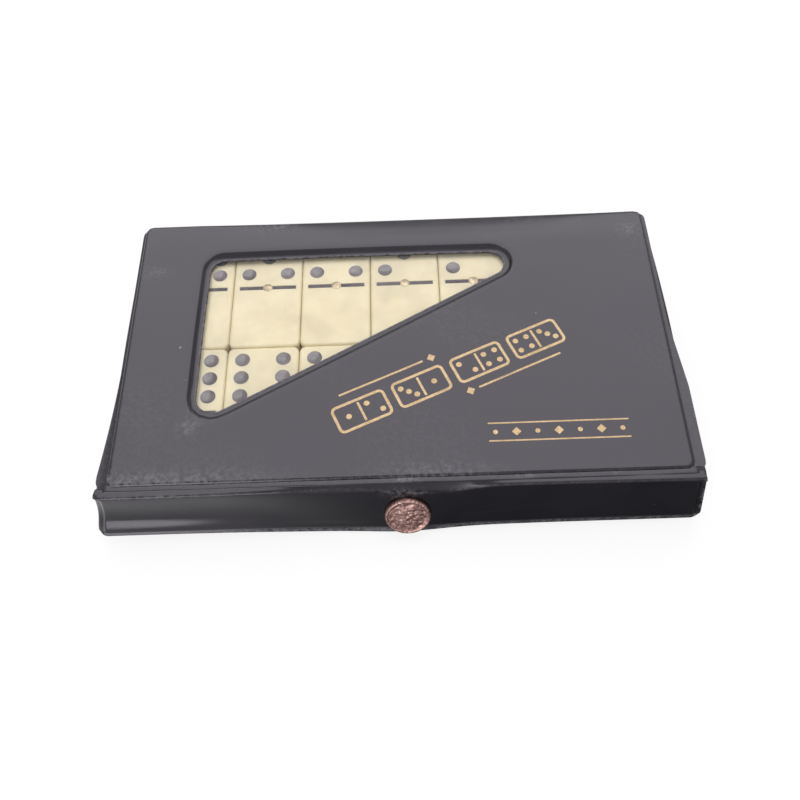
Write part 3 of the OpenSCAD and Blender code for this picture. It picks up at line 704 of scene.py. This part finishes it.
# Rubbed on the opening's cut edge, on the weld and along the front edge. Along its front the face is paler,
# most at the left: partly haze and partly a painted highlight. It also has faint clouds, a dull place at the
# left and four spots: x, y, width and how much.
row = np.arange(len(lid_grid))[:, None]
x, y = lid_grid[:, :, 0], lid_grid[:, :, 1] - lid_y
worn = np.where((row >= 1) & (row <= 3), 0.8, 0) + np.where(row >= len(lid_grid) - 6, 0.12, 0)
worn = worn + 0.15 * kept((1.2 - lid_d / 2 - y) / 1.2) * (lid_grid[:, :, 2] > 22)
# Painted highlight with some haze: a pale band along the face's front edge, strongest at the left.
painted_sheen_and_haze = (1.1 * bell(x, -90, 36) + 0.5 * bell(x, 12, 16)) * bell(y, 1 - lid_d / 2, 3.2)
clouds = np.sin(x / 17 + 2 * np.sin(y / 23)) * np.sin(y / 14 + 1.3 * np.sin(x / 31 + 1))
painted_sheen_and_haze += 0.1 * kept(clouds + 0.1) + 0.14 * bell(x, -84, 16) * bell(y, -30, 20)
worn = worn + painted_sheen_and_haze * (lid_grid[:, :, 2] > 22)
spots = ((84, 43, 3.5, 0.7), (-44, 50, 9, 0.6), (-66, -32, 3, 0.7), (-84, 30, 5, 0.4))
for spot_x, spot_y, wide, much in spots:
    worn = worn + much * bell(x, spot_x, wide) * bell(y, spot_y, 3)
mark(lid_vinyl, "worn", kept(worn))
hold(lid_vinyl, "lid", "vinyl", "lid_cover")
dress(lining_vinyl, "lid_lining")
# The board's own grid: out along its top under the vinyl, down its edge and back along its bottom.
board_high, board_low = 22.48, 20.5
board_in = carried(mouth, mouth_out, [(3.2, board_high)])[0]
board_out = carried(border, border_out, [(-0.6, board_high)])[0]
share = np.array([0, 0.15, 0.3, 0.5, 0.7, 0.85, 0.93, 1])[:, None, None]
board_top = board_in[None] * (1 - share) + board_out[None] * share
board_foot = np.dstack([board_top[::-1, :, :2], np.full(board_top.shape[:2], board_low)])
board_grid = np.concatenate([settled(board_top), board_foot])
hold(skin("lid_greyboard", [board_grid], board, ["round ring"], crease=50), "lid", "board", "lid_board")

# ---------- The window's film ----------
# Clear PVC, a quarter of a millimetre thick, welded under the opening's edge and pulled into a few
# long waves by it.


def clear_film():
    """Clear sheet that shows what lies under it and mirrors more the flatter it is seen."""
    material, tree, shader = finish("clear_film", {"Base Color": (0.97, 0.98, 1, 1), "IOR": 1.5})
    facing = node(tree, "ShaderNodeLayerWeight", {"Blend": 0.25}).outputs["Fresnel"]
    wear = handled(tree, 30.0, 9.0)
    haze = calc(tree, "MULTIPLY", wear["Smudges"], 0.03)
    cover = calc(tree, "ADD", calc(tree, "MULTIPLY", facing, 0.7), haze)
    dust = calc(tree, "MULTIPLY", wear["Specks"], 0.3)
    cover = calc(tree, "ADD", cover, dust, clamp=True)
    tree.links.new(cover, shader.inputs["Alpha"])
    dulled(tree, shader, wear, 0.06, 0.2)
    return material


# Rings run from the welded edge in to the heart, and lie freer the further in they are.
film_top, film_thick = 20.98, 0.26
film_edge = mouth + 2.6 * mouth_out
share = np.linspace(0, 1, 22)[:-1, None, None]
film_plan = heart + (film_edge - heart)[None] * (1 - share)
x, y = film_plan[:, :, 0], film_plan[:, :, 1]
free = kept(share[:, :, 0] / 0.25)
film_high = film_top + free * (0.05 * np.sin(x / 9) + 0.06 * np.sin((x + 2 * y) / 14) - 0.05)
film_grid = np.dstack([film_plan, film_high])[::-1]
film_low = film_grid[::-1] - (0, 0, film_thick)
film = skin("clear_window", [np.concatenate([film_grid, film_low])], clear_film(), ["round first last"])
hold(film, "lid", "film", "window_film")

# ---------- The flap ----------
# Thin card between two sheets of the same vinyl, welded all round in a narrow pressed rim. It hangs
# from the lid's front fold, bends softly over the tray's front edge and leans out over the snap.

flap_l, flap_top, lean = 18.7, np.array([-50.187, 20.0]), math.radians(17.458)
# Its grid runs from t = -run_in at the lid, through t = 0 at the crease, to t = run at its lower edge.
run_in, run, corner_r = 3.2, 20.7, 3.0
down_face = np.array([-math.sin(lean), -math.cos(lean)])
off_face = np.array([-math.cos(lean), math.sin(lean)])


def on_flap(x, down, off):
    """Points on the flap, from how far across, how far down its face and how far off it they lie."""
    plane = flap_top + down[..., None] * down_face + off[..., None] * off_face
    return np.concatenate([x[..., None], plane], axis=-1)


def ease(t):
    """Goes from 0 to 1 as t does, starting and ending level."""
    t = kept(t)
    return t * t * (3 - 2 * t)


def along_box(x, values, spread=5.0):
    """A value that changes along the box: straight between twelve places, then evened out."""
    fine = np.linspace(-140, 140, 1121)
    weight = bell(fine[460:661], 0, spread)
    places = [-93, -60, -35, -18, -6, 2, 12, 20, 28, 45, 70, 93]
    evened = np.convolve(np.interp(fine, places, values), weight / weight.sum(), "same")
    return np.interp(x, fine, evened)


def flap_form(x, t, half_w):
    """How far down and how far off its face the flap lies, t mm below its crease, and its inset.

    The crease is a bend between two straight runs, whose sharpness comes from soft: each run's
    share is (sqrt(t^2 + soft^2) + t) / 2 and the same for -t. Above it the sheet runs in to the lid.
    The inset is the distance from the flap's edge.
    """
    crease_down = along_box(x, [-1.8, -1.8, -1.8, -1.2, 0.6, 2.0, 2.2, 0.0, -2.0, -2.0, -1.95, -1.9])
    crease_off = along_box(x, [1.7, 1.7, 1.4, 0.6, 0.2, 0.2, 0.2, 0.5, 1.1, 1.1, 1.3, 1.5])
    soft = along_box(x, [0.6, 0.6, 1.0, 2.5, 2.5, 1.5, 1.2, 0.9, 0.6, 0.6, 0.6, 0.6])
    long = flap_l - crease_down
    in_down, in_off = -2.98 - crease_down, -1.46 - crease_off
    band = np.hypot(in_down, in_off)
    t = np.where(t < 0, t * band / run_in, t * long / run)
    below, above = (np.sqrt(t**2 + soft**2) + t) / 2, (np.sqrt(t**2 + soft**2) - t) / 2
    down = crease_down + below + above * in_down / band
    height = crease_off * (1 - below / long) + above * in_off / band
    level = kept(t / long)
    left = ease((-5 - x) / 70)
    past_x = np.clip(np.abs(x) - half_w + corner_r, 0, None)
    past_d = np.clip(down - flap_l + corner_r, 0, None)
    inset = np.minimum(half_w - np.abs(x), flap_l - down)
    inset = np.where((past_x > 0) & (past_d > 0), corner_r - np.hypot(past_x, past_d), inset)
    pocket = ease((inset - 1.5) / 1.2)
    height -= 1.3 * ease((t - 0.3) / 2) * (1 - pocket)
    # The weld curls back at the left end, and up towards the light at the right end and at the bottom.
    weld_edge = kept((np.abs(x) - half_w + 1.6) / 1.6)
    height += np.where(x < 0, -0.7 * ease((t + 2) / 2), 0.6 * ease((t + 0.3) / 2)) * weld_edge**1.5
    height += 0.75 * kept((down - flap_l + 1.5) / 1.5) ** 1.3
    # It is a little full, but at the left it falls in under the crease and its lower half flares out.
    calm = 1 - bell(x, 2, 12)
    swell = 0.35 * (1 - left) + 0.12 * np.sin(x / 17 + 0.7) + 0.07 * np.sin(x / 7 - down / 5)
    height += calm * pocket * swell * np.sin(math.pi * level)
    fall = np.array([0, -0.32, -0.64, -0.9, -1.05, -1.0, -0.7, 0.14, 0.94, 1.3, 1.35])
    height += left * np.interp(level, np.linspace(0, 1, 11), fall)
    # It is pulled out and down round the snap, whose cap leans back a little more than the flap. A
    # slack fold runs off the cap on each side.
    height += bell(x, 2, 15) * ease(down / 6) * (0.4 + 0.1 * (down - 11))
    height += 0.3 * bell(down + (x - 30) * 0.13, 8.5, 1.6) * bell(x, 33, 18) * pocket
    height -= 0.25 * bell(down - (x + 22) * 0.02, 14.5, 0.9) * bell(x, -24, 14) * pocket
    low_edge = (1.1 * bell(x, -14, 32) - 1.7 * left) * level**2
    return down + low_edge, height, inset


def thicken(made, wall):
    """Gives an open sheet its wall, in millimetres, behind the side it faces."""
    sheet = made.modifiers.new("sheet", "SOLIDIFY")
    sheet.thickness = wall * 0.001
    sheet.offset = -1


# Its grid lines lie close together in the weld and round the crease.
from_edge = np.array([0, 0.3, 0.7, 1.1, 1.35, 1.6, 1.9, 2.2, 2.6, 3.0])
x_lines = np.concatenate([from_edge - 93, np.linspace(-88.5, 88.5, 112), 93 - from_edge[::-1]]) / 93
t_lines = np.concatenate([[-run_in, -2.7, -2.2, -1.8, -1.5, -1.2], np.arange(-1, 1.1, 0.2),
                          [1.3, 1.7, 2.2, 2.8, 3.5], np.linspace(4.3, 17.0, 14), run - from_edge[::-1]])
share, t = np.meshgrid(x_lines, t_lines)
half_w = np.where(share < 0, 93.6, 92.7) - 0.6 * kept(-t / run_in) ** 2
half_w = half_w + np.where(share < 0, 3.0, 2.2) * np.clip(t, 0, flap_l) / flap_l
x = share * half_w
# Round the two lower corners: the square of 3 mm there shrinks to a quarter of a disc.
straight = run - corner_r
past_x, past_t = np.clip(np.abs(x) - half_w + corner_r, 0, None), np.clip(t - straight, 0, None)
corner = (past_x > 0) & (past_t > 0)
shrink = np.where(corner, np.maximum(past_x, past_t) / np.maximum(np.hypot(past_x, past_t), 1e-9), 1)
x = np.where(corner, np.sign(x) * (half_w - corner_r + past_x * shrink), x)
t = np.where(corner, straight + past_t * shrink, t)
down, height, inset = flap_form(x, t, half_w)
flap_vinyl = skin("flap_vinyl", [on_flap(x, down, height)], black_vinyl, crease=50)
# Rubbed on its edges, along the crease and over the snap. The pale rim and crease are partly a painted
# highlight, and the crease's extra paleness towards the left is a painted highlight.
rubbed = np.where(x < -90, 0.2, 1.0) * bell(inset, 0, 0.8) * (t > 0) + 0.25 * bell(t, 0, 0.5)
# Painted highlight: the crease paler towards the left.
rubbed += 0.5 * ease((-35 - x) / 45) * bell(t, 0, 0.9) + 0.8 * bell(x, 1, 5) * bell(down, 2, 1.8)
mark(flap_vinyl, "worn", kept(rubbed))
thicken(flap_vinyl, 0.4)
hold(flap_vinyl, "flap", "vinyl", "flap_cover")
# The lining starts below the crease and runs out to the weld. The card in front of it follows the
# vinyl on its outside and is flat inside.
below = slice(17, None)
inner = on_flap(x[below] * 0.998, down[below], np.minimum(height[below] - 0.42, -1.26))
flap_inner = skin("flap_inner_sheet", [inner], lining_vinyl, crease=50)
thicken(flap_inner, 0.35)
hold(flap_inner, "flap", "lining", "flap_lining")
x, t = np.meshgrid(np.linspace(-89.5, 89.5, 80), np.linspace(3.4, 17.2, 14))
down, height, inset = flap_form(x, t, 95.5)
card_back = on_flap(x[::-1], down[::-1], np.full(x.shape, -1.24))
card = np.swapaxes(np.concatenate([on_flap(x, down, height - 0.47), card_back]), 0, 1)[::-1]
hold(skin("flap_greyboard", [card], board, ["round first last"], crease=50), "flap", "board", "flap_card")

# ---------- The two folds ----------
# The lid, the flap and the back are one length of vinyl. Where it crosses a joint it is a narrow
# strip that bends: over the flap's weld at the front, and behind the tray's rim at the back.


def strip(name, half_length, end_drop, profile, body, other, begin, end, *nodes):
    """A (y, height) profile carried along the box, from one body to the other. body, other, begin and end are
    not used.

    Over its last tip_l mm it falls by end_drop times the square of the share gone. It is rubbed in
    the middle of its width, most at four spots.
    """
    tip_l = 3.2
    profile = np.array(profile, float)
    tips = half_length - np.array([0, 0.5, 1, 1.6, 2.4, tip_l])
    along = np.concatenate([-tips, np.linspace(4 - half_length, half_length - 4, 84), tips[::-1]])
    grid = np.zeros((len(profile), len(along), 3))
    grid[:, :, 0] = along
    grid[:, :, 1:] = profile[:, None, :]
    ripple = 0.05 * np.sin(along / 4.3) * np.sin(along / 11 + 1)
    grid[1:-1, :, 2] += ripple
    grid[:, :, 2] -= back_sag(grid[:, :, 0], grid[:, :, 2]) * (grid[:, :, 1] > 0)
    grid[:, :, 2] -= end_drop * kept((np.abs(along) - half_length + tip_l) / tip_l) ** 2
    made = skin(name, [grid], black_vinyl, crease=70)
    thicken(made, 0.3)
    spots = sum(bell(along, spot, wide) for spot, wide in ((36, 0.8), (40, 0.6), (66, 0.5), (2, 3)))
    mark(made, "worn", np.outer(np.sin(np.linspace(0, math.pi, len(profile))), 0.12 + 1.5 * spots))
    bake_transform(made)
    if nodes:
        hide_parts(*nodes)


front_fold = [(-46.6, 22.45), (-46.9, 22.36), (-47.15, 22.34), (-47.35, 22.41), (-47.5, 22.46),
              (-47.7, 22.49), (-48.0, 22.48), (-48.4, 22.44), (-48.8, 22.38), (-49.2, 22.26)]
strip("front_fold", 93.0, 1.0, front_fold, "lid", "flap", (0, -0.0472, 0.0229), (0, -0.0483, 0.0222))
back_fold = [(57.0, 16.3), (57.16, 16.5), (57.18, 18), (57.16, 19.2), (57.1, 19.8), (56.95, 20.2),
             (56.6, 20.5), (56.35, 20.95), (56.3, 21.2), (56.28, 21.5), (56.25, 21.7), (56.2, 21.9),
             (56.1, 22.1)]
strip("back_fold", 89.5, 0.5, back_fold, "tray", "lid", (0, 0.0567, 0.0193), (0, 0.0567, 0.0209),
      "hinge_fold")

# ---------- The snap ----------
# A cap of coppered steel, pitted all over and rolled at its rim, clenched through the flap to a
# socket with a ring spring. The stud it grips is riveted through the tray's front.

snap_x, snap_down, cap_r = 2.0, 11.0, 7.25
dents, dent_count = np.random.default_rng(28), 120
dent_r = 5.7 * np.sqrt(dents.random(dent_count))
dent_turn = dents.random(dent_count) * 2 * math.pi
dent_x, dent_y = dent_r * np.cos(dent_turn), dent_r * np.sin(dent_turn)
dent_w = 0.25 + 0.4 * dents.random(dent_count)
dent_d = 0.08 + 0.16 * dents.random(dent_count)
disc_r = np.linspace(0.05, 6.0, 44)
disc = np.column_stack([disc_r, 1.72 - 0.01 * disc_r**2])
rim = np.array([(6.15, 1.42), (6.4, 1.62), (6.7, 1.66), (6.95, 1.52), (7.12, 1.25), (cap_r, 0.85),
                (7.2, 0.4), (6.95, 0.1), (6.5, 0.02)])
profile = np.vstack([disc, rim])
turn = np.linspace(0, 2 * math.pi, 161)[:-1]
across, up = profile[:, :1] * np.cos(turn), profile[:, :1] * np.sin(turn)
# Each pit is a bell. Their depths add up and level off at pit_end.
pit_end = 0.45
pits = (across[:, :, None] - dent_x) ** 2 + (up[:, :, None] - dent_y) ** 2
pitted = (dent_d * np.exp(-pits / dent_w**2)).sum(2) * kept((6.0 - profile[:, :1]) / 0.5)
pitted = pit_end * np.tanh(pitted / pit_end)
beads = 0.05 * np.cos(34 * turn) * bell(profile[:, :1], 6.8, 0.35) * (profile[:, 1:] > 1)
high, tip = 1.2 * profile[:, 1:] - pitted + beads, math.radians(6)
cap_down = snap_down - up * math.cos(tip) - high * math.sin(tip)
cap_grid = on_flap(snap_x + across, cap_down, high * math.cos(tip) - up * math.sin(tip) + 0.42)
coppered = metal("coppered_steel", (0.42, 0.268, 0.245, 1), (0.2, 0.112, 0.1, 1), 0.42, 0.6)
cap = skin("hammered_cap", [cap_grid], coppered, ["round first last"], crease=80)
hold(cap, "flap", "snap_cap", "snap_cap")
nickel = metal("nickel_plate", (0.66, 0.65, 0.62, 1), (0.5, 0.48, 0.44, 1), 0.22, 0.1)
dress(nickel, "snap_socket", "socket_spring", "snap_stud", "stud_washer")

# ---------- The gold print ----------
# Stamped foil on the lid's face beside the opening: a slanted row of four outlined tiles with their
# dots, a short rule with a lozenge on each side of it, and a row of lozenges near the front edge.

print_middle, print_turn = np.array([17.4, lid_y - 15.7]), math.radians(23.7)


def laid(shape, turn=0.0, middle=(0, 0)):
    """Turns a flat shape, moves it to its middle and lays it on the lid's face."""
    cos, sin = math.cos(turn), math.sin(turn)
    plan = shape[:, :, :2] @ np.array([[cos, sin], [-sin, cos]]) + middle
    high = lid_top + 0.025 + lid_relief(plan[:, :, 0], plan[:, :, 1])
    return np.dstack([plan, high])


def ring_line(corners, radius, width):
    """A line of foil round a closed edge, half its width to each side of it."""
    return carried(*outline(corners, [radius] * 4, [0] * 4, 1.0), [(-width / 2, 0), (width / 2, 0)])


def rule(x, y, long, wide):
    """A straight line of foil about a point: a flat ring that its first row closes."""
    corners = box_corners(long, wide, 0) + np.array([x, y])
    return carried(*outline(corners, [0.15] * 4, [0] * 4, 1.0), [(-0.1, 0), (0, 0)])


def dot(x, y, radius, points):
    """A flat spot of foil with that many points: a small ring that its first row closes."""
    turn = np.linspace(0, 2 * math.pi, points + 1)[:-1]
    rim = np.column_stack([np.cos(turn), np.sin(turn)])
    return carried(np.array([[x, y]]) + 0 * rim, rim, [(radius * 0.3, 0), (radius, 0)])


lines, spots = [], []
for centre, (left, right) in zip((-31.5, -10.5, 10.5, 31.5), ((1, 2), (3, 1), (2, 4), (4, 3))):
    lines.append(ring_line(box_corners(17.6, 9.2, 0) + np.array([centre, 0]), 1.5, 0.95))
    spots.append(rule(centre, 0, 0.8, 7.2))
    for number, side in ((left, -1), (right, 1)):
        middle_spot = [(0, 0)] if number % 2 else []
        pairs = [[], [(-1, 1), (1, -1)], [(-1, 1), (1, -1), (1, 1), (-1, -1)]][number // 2]
        spots += [dot(centre + side * 4.5 + 2 * a, 2 * b, 0.95, 20) for a, b in middle_spot + pairs]
for side in (-1, 1):
    spots += [rule(side * 21, side * -8.4, 30, 0.7), dot(side * 3, side * -8.4, 1.5, 4)]
slanted = [laid(shape, print_turn, print_middle) for shape in lines + spots]
row_middle, row_y = 50, lid_y - 37.3
row_x = row_middle + 6.6 * np.arange(-3, 4)
front_row = [dot(x, row_y, 1.5 if i % 2 else 0.8, 4 if i % 2 else 16) for i, x in enumerate(row_x)]
front_row += [rule(row_middle, row_y + side * 3.1, 44, 0.5) for side in (-1, 1)]
foil_print = metal("gold_foil", (0.6, 0.43, 0.235, 1), (0.47, 0.33, 0.17, 1), 0.5, 0.15, 0.25)
ways = ["round"] * len(lines) + ["round first"] * (len(spots) + len(front_row))
foil = skin("gold_print", slanted + [laid(shape) for shape in front_row], foil_print, ways)
hold(foil, "lid", "pin")
